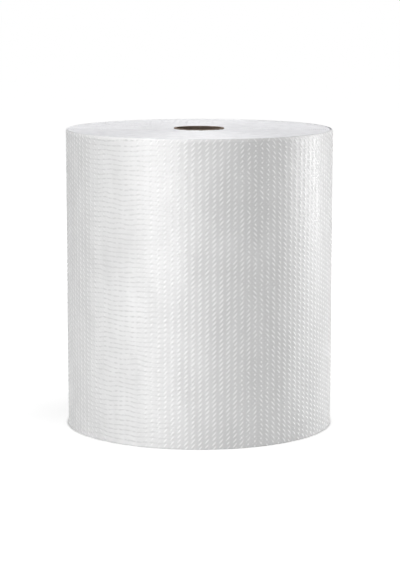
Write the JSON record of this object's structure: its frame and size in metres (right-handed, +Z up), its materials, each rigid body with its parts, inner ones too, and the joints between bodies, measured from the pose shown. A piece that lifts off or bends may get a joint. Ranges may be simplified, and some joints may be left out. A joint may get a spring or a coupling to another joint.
{
  "type": "bubble film roll",
  "caption": "Large roll of clear air bubble cushioning film, wound tight on a cardboard tube and standing on its end.",
  "frame": {"origin": "middle of the lower end, on the axis of the core, where the roll stands on the floor", "axes": "+Z up along the roll's axis; the film's free end lies at 60 degrees from +X towards +Y, behind the side that the picture shows, which faces -Y"},
  "size_m": [0.4459, 0.4437, 0.5],
  "materials": {
    "bubble_film": "thin clear polythene film that looks white where many layers lie behind it",
    "core_board": "plain brown spirally wound board with a matte surface"
  },
  "bodies": {
    "root": {"film_roll": "bubble_film", "core_tube": "core_board"}
  },
  "joints": []
}
